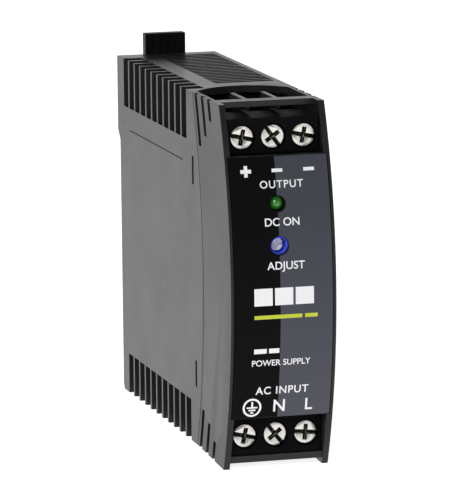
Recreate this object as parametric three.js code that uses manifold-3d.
// DIN rail power supply, 22.5 mm wide module for a 35 mm top-hat rail.
// Millimetres. X is the width, +Y goes back through the rail, +Z is up.
// The origin is the middle of the rail seat: x = 0, the rail's front plane at y = 0, the rail's centreline at z = 0.
import * as THREE from "three";
import Module from "manifold-3d";

const wasm = await Module();
wasm.setup();

// ---- housing ----
const WIDTH = 22.5;
const HALF = WIDTH / 2;
const TOP = 36.5;
const BASE = -38.5;
const FRONT = -91;
const TIP = -39.65; // lower corners of the front cap's cheeks
const CASE_WALL = 1.5;
const CAP_WALL = 1.3;
const FACE_WALL = 2.0;
const GAP = 0.3;
const REAR_STEP = 2.0; // how far the back stands behind the rail plane above the rail
const FACE_R = 99.6; // radius of the bowed front
const FACE_Z = -2.73;
const SEAM = -69.5; // foremost point of the bowed joint between case and cap
const SEAM_R = 112;

// ---- rail ----
const RAIL_HALF = 17.5;
const RAIL_SHEET = 1.0;
const LIP_DEPTH = 1.7; // how far hook and latch reach behind the rail's edges
const HOOK_BACK = 3.4;

// ---- vents ----
const VENTS = 11;
const VENT_PITCH = 4.94;
const VENT_OPEN = 3.9;
const VENT_REAR = -3.8;
const VENT_LOW_SHIFT = -1.4;
const VENT_FOOT = 26; // lower end of the upper side vents
const VENT_HEAD = -29.6; // upper end of the lower side vents
const VENT_WRAP = 7.2; // vents run over the edge as far as this x
const GRILLE = { x0: -3.0, x1: 10.0, rear: -1.6, front: -50.6, count: 20, open: 1.85 };

// ---- terminals ----
const POLES = [-6.55, 0, 6.55];
const OUT_AXIS = 29.6;
const IN_AXIS = -32.8;
const BLOCK_FACE = -84.0;
const HEAD_FACE = -83.4;
const HEAD_R = 2.35;
const HEAD_T = 2.0;
const SHANK_R = 1.5;
const THREAD_R = 1.58;
const SCREW_TIP = -73.2;
const BAR_FRONT = -72.9;
const BAR_T = 0.8;
const WINDOW_TOP = 26.1; // front window of the output terminals starts here
const WINDOW_LOW = -28.4;
const ROUND = 24;

// ---- boards ----
const PCB_X = 6.4;
const PCB_T = 1.6;
const BOARD_FRONT = -82.2;
const EYE_X = -0.6; // lamp and trimmer stand on this line
const LAMP_Z = 16.4;
const TRIM_Z = 7.9;

// ---- slider ----
const SLIDE_TRAVEL = 3.2;
const BUTTON_TOP = 41;
const BUTTON_HALF = 4.6;

const material = (color, roughness, metalness = 0) => new THREE.MeshStandardMaterial({
  color,
  roughness,
  metalness,
});
const GREY = [0x2a2b2d, 0.45];
const BLACK = [0x17181b, 0.45];

// ---- solids ----
function solid(geometry) {
  const g = geometry.index ? geometry.clone() : geometry;
  const positions = g.attributes.position.array;
  const keys = new Map();
  const verts = [];
  const remap = [];
  for (let i = 0; i < positions.length; i += 3) {
    const p = [positions[i], positions[i + 1], positions[i + 2]];
    const key = p.map((v) => Math.round(v * 1e4)).join(",");
    if (!keys.has(key)) {
      keys.set(key, verts.length / 3);
      verts.push(...p);
    }
    remap.push(keys.get(key));
  }
  const raw = g.index ? Array.from(g.index.array, (i) => remap[i]) : remap;
  const tris = [];
  for (let i = 0; i < raw.length; i += 3) {
    const [a, b, c] = [raw[i], raw[i + 1], raw[i + 2]];
    if (a !== b && b !== c && c !== a) tris.push(a, b, c);
  }
  return new wasm.Manifold(new wasm.Mesh({
    numProp: 3,
    vertProperties: Float32Array.from(verts),
    triVerts: Uint32Array.from(tris),
  }));
}

function box(x0, x1, y0, y1, z0, z1) {
  const [xa, xb] = [Math.min(x0, x1), Math.max(x0, x1)];
  const [ya, yb] = [Math.min(y0, y1), Math.max(y0, y1)];
  const [za, zb] = [Math.min(z0, z1), Math.max(z0, z1)];
  const g = new THREE.BoxGeometry(xb - xa, yb - ya, zb - za);
  g.translate((xa + xb) / 2, (ya + yb) / 2, (za + zb) / 2);
  return solid(g);
}

function cylinder(axis, r, from, to, u, v, segments = ROUND) {
  const g = new THREE.CylinderGeometry(r, r, Math.abs(to - from), segments);
  const mid = (from + to) / 2;
  if (axis === "x") {
    g.rotateZ(Math.PI / 2);
    g.translate(mid, u, v);
  }
  if (axis === "y") {
    g.translate(u, mid, v);
  }
  if (axis === "z") {
    g.rotateX(Math.PI / 2);
    g.translate(u, v, mid);
  }
  return solid(g);
}

// A prism along X from a closed outline of [y, z] points.
function prismX(outline, x0, x1) {
  const shape = new THREE.Shape(outline.map(([y, z]) => new THREE.Vector2(y, z)));
  const g = new THREE.ExtrudeGeometry(shape, { depth: x1 - x0, bevelEnabled: false });
  g.applyMatrix4(new THREE.Matrix4().makeBasis(
    new THREE.Vector3(0, 1, 0),
    new THREE.Vector3(0, 0, 1),
    new THREE.Vector3(1, 0, 0),
  ));
  g.translate(x0, 0, 0);
  return solid(g);
}

function both(make) {
  return make(1).add(make(-1));
}

const root = new THREE.Group();
root.name = "din_rail_power_supply";

function place(name, body, look) {
  const m = body.getMesh();
  const g = new THREE.BufferGeometry();
  g.setAttribute("position", new THREE.BufferAttribute(Float32Array.from(m.vertProperties), 3));
  g.setIndex(new THREE.BufferAttribute(Uint32Array.from(m.triVerts), 1));
  const flat = g.toNonIndexed();
  flat.computeVertexNormals();
  const mesh = new THREE.Mesh(flat, material(...look));
  mesh.name = name;
  root.add(mesh);
}

// ---- the bowed faces ----
const faceY = (z, inset = 0) => FRONT + FACE_R - Math.sqrt((FACE_R - inset) ** 2 - (z - FACE_Z) ** 2);
const seamY = (z, shift = 0) => SEAM + SEAM_R - Math.sqrt(SEAM_R ** 2 - (z - FACE_Z) ** 2) + shift;

function curve(f, z0, z1, steps) {
  const points = [];
  for (let i = 0; i <= steps; i += 1) {
    const z = z0 + ((z1 - z0) * i) / steps;
    points.push([f(z), z]);
  }
  return points;
}

// ---- rear case ----
function ventRow(z0, z1, shift, side) {
  let cut = null;
  for (let i = 0; i < VENTS; i += 1) {
    const y1 = VENT_REAR + shift - i * VENT_PITCH;
    const slot = box(side * VENT_WRAP, side * (HALF + 1), y1 - VENT_OPEN, y1, z0, z1);
    cut = cut ? cut.add(slot) : slot;
  }
  return cut;
}

function grille(z0, z1) {
  const pitch = (GRILLE.rear - GRILLE.front) / GRILLE.count;
  let cut = null;
  for (let i = 0; i < GRILLE.count; i += 1) {
    const y1 = GRILLE.rear - (i + 0.2) * pitch;
    const slot = box(GRILLE.x0, GRILLE.x1, y1 - GRILLE.open, y1, z0, z1);
    cut = cut ? cut.add(slot) : slot;
  }
  return cut;
}

const CATCHES = [
  { y: -61.95, z0: 17.0, z1: 23.0 },
  { y: -62.9, z0: -26.1, z1: -20.4 },
];

function rearCase() {
  const outline = [
    ...curve((z) => seamY(z, GAP / 2), BASE, TOP, 16),
    [REAR_STEP, TOP],
    [REAR_STEP, 20.1],
    [0, RAIL_HALF + 0.4],
    [0, BASE + 1.2],
    [-0.8, BASE],
  ];
  const inX = HALF - CASE_WALL;
  let body = prismX(outline, -HALF, HALF);
  body = body.subtract(box(-inX, inX, -90, -1.8, BASE + CASE_WALL, TOP - CASE_WALL));
  // thicker back wall round the slider's channel
  body = body.add(box(-5.2, 5.2, -4.7, -0.5, BASE + 0.5, TOP - 0.5));
  // two fixed hooks over the rail's upper edge
  const hook = [
    [-1, 24],
    [2.6, 24],
    [HOOK_BACK, 22.4],
    [HOOK_BACK, RAIL_HALF - LIP_DEPTH],
    [RAIL_SHEET + 0.5, RAIL_HALF - LIP_DEPTH],
    [RAIL_SHEET + 0.3, RAIL_HALF + 0.3],
    [-1, RAIL_HALF + 0.3],
  ];
  body = body.add(prismX(hook, 3.7, 8.7)).add(prismX(hook, -8.7, -3.7));
  // T-shaped channel for the slider, open to the rail side only where the slider comes through
  body = body.subtract(box(-4.1, 4.1, -3.1, -1.1, BASE + 1.9, 25.6));
  body = body.subtract(box(-3.3, 3.3, -1.5, 4, RAIL_HALF + 0.25, 25.4));
  body = body.subtract(box(-3.3, 3.3, -1.5, 1, -27.6, -15.4));
  // shallow pockets under the two hooks, so that the seat itself stays a plain flat land
  body = body.subtract(both((s) => box(s * 3.5, s * 8.9, -0.3, RAIL_SHEET + 0.2, RAIL_HALF - LIP_DEPTH - 0.3, RAIL_HALF + 0.31)));
  // arched front edge of the roof over the wire entries
  const arch = cylinder("z", 11.35, 34, 38, 0, -66.75, 64).intersect(box(-9.9, 9.9, -90, -50, 33, 39));
  body = body.subtract(arch);
  // the floor's front edge is straight
  body = body.subtract(box(-9.9, 9.9, -90, -61, BASE - 1, BASE + 3));
  // vents over the upper left edge, lower edges, plain slots on the right
  body = body.subtract(ventRow(VENT_FOOT, TOP + 1, 0, -1));
  body = body.subtract(ventRow(BASE - 1, VENT_HEAD, VENT_LOW_SHIFT, -1));
  body = body.subtract(ventRow(VENT_FOOT, TOP - 3, 0, 1));
  body = body.subtract(ventRow(BASE - 1, VENT_HEAD, VENT_LOW_SHIFT, 1));
  body = body.subtract(grille(TOP - 2, TOP + 1));
  // windows for the cap's snap tongues
  for (const c of CATCHES) {
    body = body.subtract(both((s) => box(s * 9, s * 12, c.y - 0.65, c.y + 0.65, c.z0, c.z1)));
  }
  // fine ledge line along the side
  body = body.subtract(both((s) => box(s * 11.05, s * 12, -54, -9, 21.0, 21.3)));
  return body;
}

// ---- front cap ----
const FANS = [
  { shift: -1.4, foot: 26.0, head: -30.0 },
  { shift: -6.4, foot: 28.6, head: -32.0 },
  { shift: -11.4, foot: 32.2, head: -35.0 },
];

function fanSlot(fan, z0, z1, s) {
  const outline = [
    ...curve((z) => seamY(z, fan.shift), z0, z1, 6),
    ...curve((z) => seamY(z, fan.shift - 1.9), z1, z0, 6),
  ];
  return s > 0 ? prismX(outline, 10.6, 12) : prismX(outline, -12, -10.6);
}

function frontCap() {
  const outline = [
    ...curve(faceY, TIP, TOP, 28),
    ...curve((z) => seamY(z, -GAP / 2), TOP, BASE, 16),
  ];
  const inX = HALF - CAP_WALL;
  let body = prismX(outline, -HALF, HALF);
  const hollow = [
    ...curve((z) => faceY(z, FACE_WALL), BASE + 1.6, TOP - 1.2, 20),
    [-50, TOP - 1.2],
    [-50, BASE + 1.6],
  ];
  body = body.subtract(prismX(hollow, -inX, inX));
  // front windows of the two terminal blocks
  body = body.subtract(box(-inX, inX, -95, -60, WINDOW_TOP, TOP - 1.2));
  body = body.subtract(box(-inX, inX, -95, -60, BASE + 1.6, WINDOW_LOW));
  // wire entries in the roof and in the floor, each behind a crossbar
  body = body.subtract(box(-inX, inX, -75.8, -50, TOP - 3, TOP + 1));
  body = body.subtract(box(-inX, inX, -95, -79.2, WINDOW_TOP, TOP + 1));
  body = body.subtract(box(-inX, inX, -79.5, -50, TIP - 1, BASE + 3));
  body = body.subtract(box(-inX, inX, -95, -84.3, TIP - 1, WINDOW_LOW));
  body = body.subtract(box(-inX, inX, -90, -50, TIP - 1, BASE + 0.2));
  // two ribs between the three wire entries
  for (const x of [-3.3, 3.3]) {
    body = body.add(box(x - 0.5, x + 0.5, -76, -64.6, TOP - 2.4, TOP - 0.2));
    body = body.add(box(x - 0.5, x + 0.5, -79.8, -64.6, BASE + 0.4, BASE + 1.7));
  }
  body = body.add(box(-inX - 0.1, inX + 0.1, -65.6, -64.4, TOP - 2.4, TOP - 1.7));
  body = body.add(box(-inX - 0.1, inX + 0.1, -65.6, -64.4, BASE + 0.4, BASE + 1.1));
  // sunk bed of the label
  const bed = [
    ...curve((z) => faceY(z, 0.45), WINDOW_LOW, WINDOW_TOP, 24),
    [-95, WINDOW_TOP],
    [-95, WINDOW_LOW],
  ];
  body = body.subtract(prismX(bed, -10.65, 10.65));
  // snap tongues
  for (const c of CATCHES) {
    body = body.add(both((s) => box(s * 8.5, s * 10.2, -75, -68.2, c.z0 + 0.4, c.z1 - 0.4)));
    body = body.add(both((s) => box(s * 8.5, s * 9.45, -69, c.y - 0.35, c.z0 + 0.4, c.z1 - 0.4)));
    body = body.add(both((s) => box(s * 8.5, s * 10.7, c.y - 0.35, c.y + 0.35, c.z0 + 0.4, c.z1 - 0.4)));
  }
  // holes for lamp and trimmer
  body = body.subtract(cylinder("y", 1.7, -95, -86, EYE_X, LAMP_Z));
  body = body.subtract(cylinder("y", 1.95, -95, -86, EYE_X, TRIM_Z));
  // staggered slots in the cheeks
  for (const fan of FANS) {
    body = body.subtract(both((s) => fanSlot(fan, fan.foot, TOP + 0.4, s)));
    body = body.subtract(both((s) => fanSlot(fan, TIP - 0.5, fan.head, s)));
  }
  return body;
}

function frontLabel() {
  const z0 = WINDOW_LOW + 0.15;
  const z1 = WINDOW_TOP - 0.15;
  const outline = [
    ...curve((z) => faceY(z, 0.02), z0, z1, 24),
    ...curve((z) => faceY(z, 0.33), z1, z0, 24),
  ];
  let body = prismX(outline, -10.5, 10.5);
  body = body.subtract(cylinder("y", 1.75, -95, -84, EYE_X, LAMP_Z));
  body = body.subtract(cylinder("y", 2.0, -95, -84, EYE_X, TRIM_Z));
  return body;
}

// ---- terminals ----
// side is +1 for the output row on top and -1 for the input row below; h runs from the axis towards the wire entries.
const ROWS = [
  { tag: "output", side: 1, axis: OUT_AXIS, nose: 3.35, foot: 20.4 },
  { tag: "input", side: -1, axis: IN_AXIS, nose: 4.25, foot: -24.0 },
];
const heightOf = (row, h) => row.axis + row.side * h;

function terminalBlock(row) {
  const slab = (x0, x1, y0, y1, h0, h1) => box(x0, x1, y0, y1, heightOf(row, h0), heightOf(row, h1));
  let body = slab(-9.65, 9.65, -81.6, -63, -5.0, 3.9);
  body = body.add(slab(-9.65, 9.65, BLOCK_FACE, -81.5, -row.nose, 3.9));
  body = body.add(slab(-9.4, 9.4, -63.1, -53.6, 3.0, 3.9));
  // wall behind the wire entries, so that nothing can be poked through to the circuit
  if (row.side > 0) body = body.add(slab(-9.4, 9.4, -54.4, -53.6, 3.8, 5.3));
  for (const x of POLES) {
    body = body.subtract(slab(x - 2.45, x + 2.45, -80.3, -64.6, -4.0, 3.2));
    body = body.subtract(slab(x - 2.3, x + 2.3, -73.0, -65.2, 3.1, 4.5));
    body = body.subtract(slab(x - 1.8, x + 1.8, -73.1, -71.9, -5.5, -3.9));
    body = body.subtract(cylinder("y", 2.75, BLOCK_FACE - 1, -81.2, x, row.axis));
    body = body.subtract(cylinder("y", 1.9, -81.5, -80, x, row.axis));
  }
  return body;
}

function terminalScrew(row, x, turn) {
  const arm = (half, reach, depth, angle) => {
    const g = new THREE.BoxGeometry(reach * 2, depth * 2, half * 2);
    g.rotateY(angle);
    g.translate(x, HEAD_FACE, row.axis);
    return solid(g);
  };
  let body = cylinder("y", HEAD_R, HEAD_FACE, HEAD_FACE + HEAD_T, x, row.axis);
  body = body.subtract(arm(0.42, HEAD_R + 1, 0.9, turn));
  body = body.subtract(arm(0.42, 1.7, 1.3, turn + Math.PI / 2));
  return body.add(cylinder("y", SHANK_R, HEAD_FACE + HEAD_T - 0.2, SCREW_TIP, x, row.axis));
}

function clampCage(row, x) {
  const slab = (x0, x1, y0, y1, h0, h1) => box(x0, x1, y0, y1, heightOf(row, h0), heightOf(row, h1));
  let body = slab(x - 2.2, x + 2.2, -76.6, -66.6, -2.8, 2.8);
  body = body.subtract(slab(x - 1.75, x + 1.75, -75.5, -67.4, -4, 4));
  return body.subtract(cylinder("y", THREAD_R, -78, -74, x, row.axis));
}

function currentBar(row, x) {
  const top = heightOf(row, 2.9);
  const foot = row.foot;
  let body = box(x - 1.5, x + 1.5, BAR_FRONT, BAR_FRONT + BAR_T, top, foot - row.side * 0.4);
  body = body.add(box(x - 1.5, x + 1.5, -80.0, BAR_FRONT + BAR_T, foot - 0.4, foot + 0.4));
  return body.add(box(x - 0.4, x + 0.4, -83.0, -79.9, foot - 0.4, foot + 0.4));
}

// ---- slider with its release button and latch ----
function railSlider() {
  let body = box(-3.8, 3.8, -2.8, -1.4, -29, 25);
  body = body.add(box(-3.0, 3.0, -1.5, 4.9, 21.3, 25));
  body = body.add(box(-3.0, 3.0, 2.3, 4.9, 21.3, 30.2));
  body = body.add(box(-BUTTON_HALF, BUTTON_HALF, 2.3, 4.9, 30, BUTTON_TOP));
  // grip grooves on the button's front
  for (const x of [-2.6, -0.9, 0.9, 2.6]) {
    body = body.subtract(box(x - 0.35, x + 0.35, 2.0, 2.7, TOP + 0.8, BUTTON_TOP - 0.7));
  }
  // latch under the rail's lower edge
  const latch = [
    [-1.5, -23.8],
    [1.6, -23.8],
    [HOOK_BACK, -21.4],
    [HOOK_BACK, -RAIL_HALF + LIP_DEPTH - 0.6],
    [2.6, -RAIL_HALF + LIP_DEPTH],
    [RAIL_SHEET + 0.5, -RAIL_HALF + LIP_DEPTH],
    [RAIL_SHEET + 0.3, -RAIL_HALF - 0.3],
    [-1.5, -RAIL_HALF - 0.3],
  ];
  return body.add(prismX(latch, -3.0, 3.0));
}

function sliderSpring() {
  const turns = 5.5;
  const z0 = BASE + 2.2;
  const z1 = -29.3;
  class Helix extends THREE.Curve {
    getPoint(t, target = new THREE.Vector3()) {
      const a = t * turns * Math.PI * 2;
      return target.set(0.7 * Math.cos(a), -2.1 + 0.7 * Math.sin(a), z0 + 0.2 + (z1 - z0 - 0.4) * t);
    }
  }
  const ring = new THREE.Shape();
  ring.absarc(0, 0, 0.16, 0, Math.PI * 2, false);
  const g = new THREE.ExtrudeGeometry(ring, {
    steps: 66,
    curveSegments: 6,
    extrudePath: new Helix(),
    bevelEnabled: false,
  });
  return solid(g);
}

// ---- inside ----
// Part leads run through the main board; each entry is the [y, z] of one lead.
const LEADS = {
  input_fuse: [[-58.5, -28], [-53.5, -28]],
  varistor: [[-56.5, -20.2], [-56.5, -17.6]],
  ntc_thermistor: [[-56.5, -11.3], [-56.5, -8.7]],
  x_capacitor: [[-47, -30.3], [-36, -30.3]],
  mains_choke: [[-47, -24], [-47, -14], [-37, -24], [-37, -14]],
  bridge_rectifier: [[-31, -31.5], [-31, -28.5], [-25, -31.5], [-25, -28.5]],
  bulk_capacitor: [[-15.5, -31], [-10.5, -31]],
  transformer_bobbin: [[-35, -1.3], [-30, -1.3], [-25, -1.3], [-35, 11.3], [-30, 11.3], [-25, 11.3]],
  y_capacitor: [[-50, -2.5], [-44, -2.5]],
  power_transistor: [[-11.6, 5.5], [-11.6, 8], [-11.6, 10.5]],
  output_diode: [[-18.4, 25], [-18.4, 29]],
  output_capacitor_1: [[-54.5, 26], [-49.5, 26]],
  output_capacitor_2: [[-43.5, 26], [-38.5, 26]],
  output_choke: [[-31.5, 26], [-24.5, 26]],
  control_ic: [[-10.8, 23.6], [-10.8, 26.2], [-10.8, 28.8], [-5.6, 23.6], [-5.6, 26.2], [-5.6, 28.8]],
  optocoupler: [[-49.2, 6.7], [-49.2, 9.3], [-43.8, 6.7], [-43.8, 9.3]],
};
const LEAD_R = 0.35;
const PART_X = PCB_X - 0.3;

function withLeads(name, body, rise = 0.6) {
  let all = body;
  for (const [y, z] of LEADS[name]) {
    all = all.add(cylinder("x", LEAD_R, PART_X - rise, PCB_X + PCB_T + 0.5, y, z, 6));
  }
  return all;
}

function mainBoard() {
  let body = box(PCB_X, PCB_X + PCB_T, -61.5, -3, -34, 32);
  body = body.add(box(PCB_X, PCB_X + PCB_T, -79.9, -61, -18, 18));
  for (const leads of Object.values(LEADS)) {
    for (const [y, z] of leads) {
      body = body.subtract(cylinder("x", LEAD_R + 0.2, PCB_X - 1, PCB_X + PCB_T + 1, y, z, 6));
    }
  }
  return body;
}

function frontBoard() {
  const y1 = BOARD_FRONT + PCB_T;
  let body = box(-9.3, 9.3, BOARD_FRONT, y1, -25.6, 22);
  for (const row of ROWS) {
    for (const x of POLES) {
      body = body.subtract(box(x - 0.65, x + 0.65, BOARD_FRONT - 1, y1 + 1, row.foot - 0.65, row.foot + 0.65));
    }
  }
  return body;
}

function disc(r, thick, x, y, z) {
  return cylinder("z", r, z - thick / 2, z + thick / 2, x, y, 20);
}

function torus(R, r, y, z, x) {
  const g = new THREE.TorusGeometry(R, r, 8, 20);
  g.rotateY(Math.PI / 2);
  g.translate(x, y, z);
  return solid(g);
}

// Upright can with a rolled groove near its foot.
function can(axis, r, from, to, u, v) {
  const dir = Math.sign(to - from);
  const grooved = from + dir * 2.4;
  const body = cylinder(axis, r, from, to, u, v);
  const ring = cylinder(axis, r + 1, grooved, grooved + dir * 0.8, u, v)
    .subtract(cylinder(axis, r - 0.35, grooved - dir, grooved + dir * 2, u, v));
  return body.subtract(ring);
}

const CORE = { x: -1.2, y: -30, z: 5, wide: 22, tall: 20, thick: 6, leg: 6, window: 14 };

function transformerCore() {
  const c = CORE;
  const half = c.thick / 2;
  let body = box(c.x - half, c.x + half, c.y - c.wide / 2, c.y + c.wide / 2, c.z - c.tall / 2, c.z + c.tall / 2);
  for (const s of [-1, 1]) {
    body = body.subtract(box(
      c.x - 9, c.x + 9,
      c.y + s * (c.leg / 2), c.y + s * (c.wide / 2 - 3),
      c.z - c.window / 2, c.z + c.window / 2,
    ));
  }
  return body;
}

function ringRound(half, wall, z0, z1) {
  const c = CORE;
  const outer = half + wall;
  return box(c.x - outer, c.x + outer, c.y - outer, c.y + outer, z0, z1)
    .subtract(box(c.x - half, c.x + half, c.y - half, c.y + half, z0 - 1, z1 + 1));
}

function transformerBobbin() {
  const c = CORE;
  const inner = c.leg / 2 + 0.2;
  let body = ringRound(inner, 0.5, c.z - 6.7, c.z + 6.7);
  body = body.add(ringRound(inner, 3.8, c.z - 6.7, c.z - 5.9));
  body = body.add(ringRound(inner, 3.8, c.z + 5.9, c.z + 6.7));
  return body;
}

function transformerWinding() {
  const c = CORE;
  const corner = ringRound(c.leg / 2 + 0.85, 2.7, c.z - 5.75, c.z + 5.75);
  return corner.intersect(cylinder("z", 8.4, c.z - 7, c.z + 7, c.x, c.y, 32));
}

function finned(x0, x1, yPlate, plate, z0, z1, finTo, fins) {
  let body = box(x0, x1, yPlate, yPlate + plate, z0, z1);
  for (let i = 0; i < fins; i += 1) {
    const z = z0 + 0.6 + ((z1 - z0 - 1.2) * i) / (fins - 1);
    body = body.add(box(x0, x1, yPlate + plate - 0.1, finTo, z - 0.5, z + 0.5));
  }
  return body;
}

// Flat power package standing on its leads; y0 is the face away from the heatsink.
function package220(y0, y1, z) {
  let body = box(-3.6, 3.9, y0, y1 - 1.4, z - 4.6, z + 4.6);
  body = body.add(box(-8.2, 3.9, y1 - 1.5, y1, z - 4.6, z + 4.6));
  return body.subtract(cylinder("y", 1.7, y0 - 1, y1 + 1, -5.9, z, 16));
}

function dip(name, y0, y1, z0, z1, height) {
  const body = box(PART_X - 0.4 - height, PART_X - 0.4, y0 + 0.9, y1 - 0.9, z0, z1);
  let all = body;
  for (const [y, z] of LEADS[name]) {
    const inner = y < (y0 + y1) / 2 ? y0 + 1.1 : y1 - 1.1;
    all = all.add(box(PART_X - height * 0.6, PART_X - height * 0.6 + 0.4, Math.min(y, inner) - 0.25,
      Math.max(y, inner) + 0.25, z - 0.5, z + 0.5));
  }
  return withLeads(name, all, height * 0.55);
}

function trimmerBody() {
  let body = box(EYE_X - 3.2, EYE_X + 3.2, -86.9, BOARD_FRONT - 0.3, TRIM_Z - 3.2, TRIM_Z + 3.2);
  body = body.subtract(cylinder("y", 1.45, -88, -85.6, EYE_X, TRIM_Z));
  return body;
}

function trimmerRotor() {
  let body = cylinder("y", 1.38, -87.7, -85.75, EYE_X, TRIM_Z);
  body = body.subtract(box(EYE_X - 2, EYE_X + 2, -89, -87.0, TRIM_Z - 0.22, TRIM_Z + 0.22));
  return body.subtract(box(EYE_X - 0.22, EYE_X + 0.22, -89, -87.0, TRIM_Z - 0.9, TRIM_Z + 0.9));
}

function statusLed() {
  const dome = new THREE.SphereGeometry(1.5, ROUND, 12);
  dome.rotateX(Math.PI / 2);
  dome.translate(EYE_X, -87.2, LAMP_Z);
  return solid(dome)
    .add(cylinder("y", 1.5, -87.2, -82.6, EYE_X, LAMP_Z))
    .add(cylinder("y", 1.9, -83.5, BOARD_FRONT - 0.3, EYE_X, LAMP_Z));
}

// ---- assembly ----
place("rear_case", rearCase(), GREY);
place("front_cap", frontCap(), GREY);
place("front_label", frontLabel(), [0x24252b, 0.4]);
for (const row of ROWS) {
  place(`terminal_block_${row.tag}`, terminalBlock(row), BLACK);
  POLES.forEach((x, i) => {
    const id = `${row.tag}_${i + 1}`;
    const turn = THREE.MathUtils.degToRad([15, 50, 12][i] * row.side);
    place(`terminal_screw_${id}`, terminalScrew(row, x, turn), [0xd8d6d0, 0.25, 1]);
    place(`clamp_cage_${id}`, clampCage(row, x), [0xb9b7b2, 0.35, 1]);
    place(`current_bar_${id}`, currentBar(row, x), [0xc9b27a, 0.35, 1]);
  });
}
place("rail_slider", railSlider(), [0x141416, 0.5]);
place("slider_spring", sliderSpring(), [0xaaaaaa, 0.3, 1]);
place("main_board", mainBoard(), [0x1d5a35, 0.5]);
place("front_board", frontBoard(), [0x1d5a35, 0.5]);
place("insulation_sheet", box(8.75, 9.15, -57, -3, -35, 32.2), [0xd9d4bd, 0.4]);
place("input_fuse", withLeads("input_fuse", cylinder("x", 4.2, -1.8, PART_X - 0.3, -56, -28)), [0x3b2a22, 0.5]);
place("varistor", withLeads("varistor", disc(4.4, 4, 1.2, -56.5, -18.9), 2.4), [0x2a4f86, 0.45]);
place("ntc_thermistor", withLeads("ntc_thermistor", disc(3.9, 3.8, 1.7, -56.5, -10), 2.4), [0x3d4a3a, 0.5]);
place("x_capacitor", withLeads("x_capacitor", box(-4.6, PART_X - 0.3, -48.2, -34.8, -33.2, -27.4)), [0xc9a227, 0.5]);
place("mains_choke", withLeads("mains_choke", torus(5, 2.3, -42, -19, 3.2), 3.4), [0x9a5a2a, 0.4]);
place("bridge_rectifier", withLeads("bridge_rectifier", box(2.6, PART_X - 0.3, -32.5, -23.5, -33, -27)), BLACK);
place("bulk_capacitor", withLeads("bulk_capacitor", can("z", 7.1, -33, -8.4, -1.5, -13).add(
  box(3.5, 5.9, -16.5, -9.5, -31.8, -30.2),
)), [0x20232b, 0.35]);
place("transformer_core", transformerCore(), [0x3a3a3d, 0.6]);
place("transformer_bobbin", withLeads("transformer_bobbin", transformerBobbin(), 0.8), [0x1b1b1d, 0.5]);
place("transformer_winding", transformerWinding(), [0xd9b63a, 0.5]);
place("y_capacitor", withLeads("y_capacitor", disc(3.6, 3, 2.0, -47, -2.5), 3.2), [0x2f6fa8, 0.45]);
place("primary_heatsink", finned(-8.4, 5.9, -8.6, 1.5, -4, 20, -5.2, 6), [0xb8bcc0, 0.35, 1]);
place("power_transistor", withLeads("power_transistor", package220(-13.4, -8.8, 8), 2.6), BLACK);
place("secondary_heatsink", finned(-8.4, 5.9, -15.8, 1.5, 21.2, 31.8, -11.4, 4), [0xb8bcc0, 0.35, 1]);
place("output_diode", withLeads("output_diode", package220(-20.4, -16.0, 27), 2.6), BLACK);
place("output_capacitor_1", withLeads("output_capacitor_1", can("x", 5, PART_X - 0.2, -7.6, -52, 26)), [0x25354f, 0.35]);
place("output_capacitor_2", withLeads("output_capacitor_2", can("x", 5, PART_X - 0.2, -7.6, -41, 26)), [0x25354f, 0.35]);
place("output_choke", withLeads("output_choke", torus(3.9, 1.9, -28, 26, 3.6), 3.0), [0xa8642c, 0.4]);
place("control_ic", dip("control_ic", -11, -5.4, 22.3, 30.1, 3.2), BLACK);
place("optocoupler", dip("optocoupler", -49.4, -43.6, 5.4, 10.6, 3.2), [0xe6e3da, 0.45]);
place("trimmer_body", trimmerBody(), [0x1a3fb0, 0.4]);
place("trimmer_rotor", trimmerRotor(), [0xdadada, 0.35]);
place("status_led", statusLed(), [0x2fae3f, 0.15]);

export default root;
